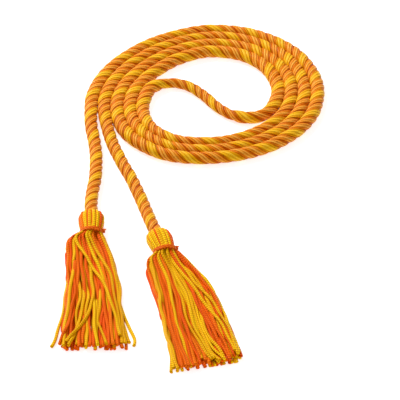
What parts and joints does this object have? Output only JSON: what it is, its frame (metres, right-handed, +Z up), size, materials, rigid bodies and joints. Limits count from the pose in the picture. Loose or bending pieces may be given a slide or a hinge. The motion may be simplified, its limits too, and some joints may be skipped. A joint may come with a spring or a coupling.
{
  "type": "honor cord",
  "caption": "Soft twisted cord worn over the shoulders with a graduation gown, with a bound tassel on each end, shown laid flat in a loose coil.",
  "frame": {"origin": "middle of the laid cord's bounding box, on the surface that it lies on", "axes": "+Z up from the surface, +Y along the laid cord from the tassels towards the coil, +X to the right seen from above with the coil at the far side"},
  "size_m": [0.1392, 0.3184, 0.0097],
  "materials": {
    "cord": "twisted satin rayon, one golden ply and two orange plies",
    "tassel": "soft knitted rayon strands, golden yellow and orange-red",
    "binding": "orange-red thread wound round the neck and knotted"
  },
  "bodies": {
    "root": {"twisted_cord": "cord", "tassel_left": "tassel", "tassel_right": "tassel", "neck_binding_left": "binding", "neck_binding_right": "binding"}
  },
  "joints": []
}
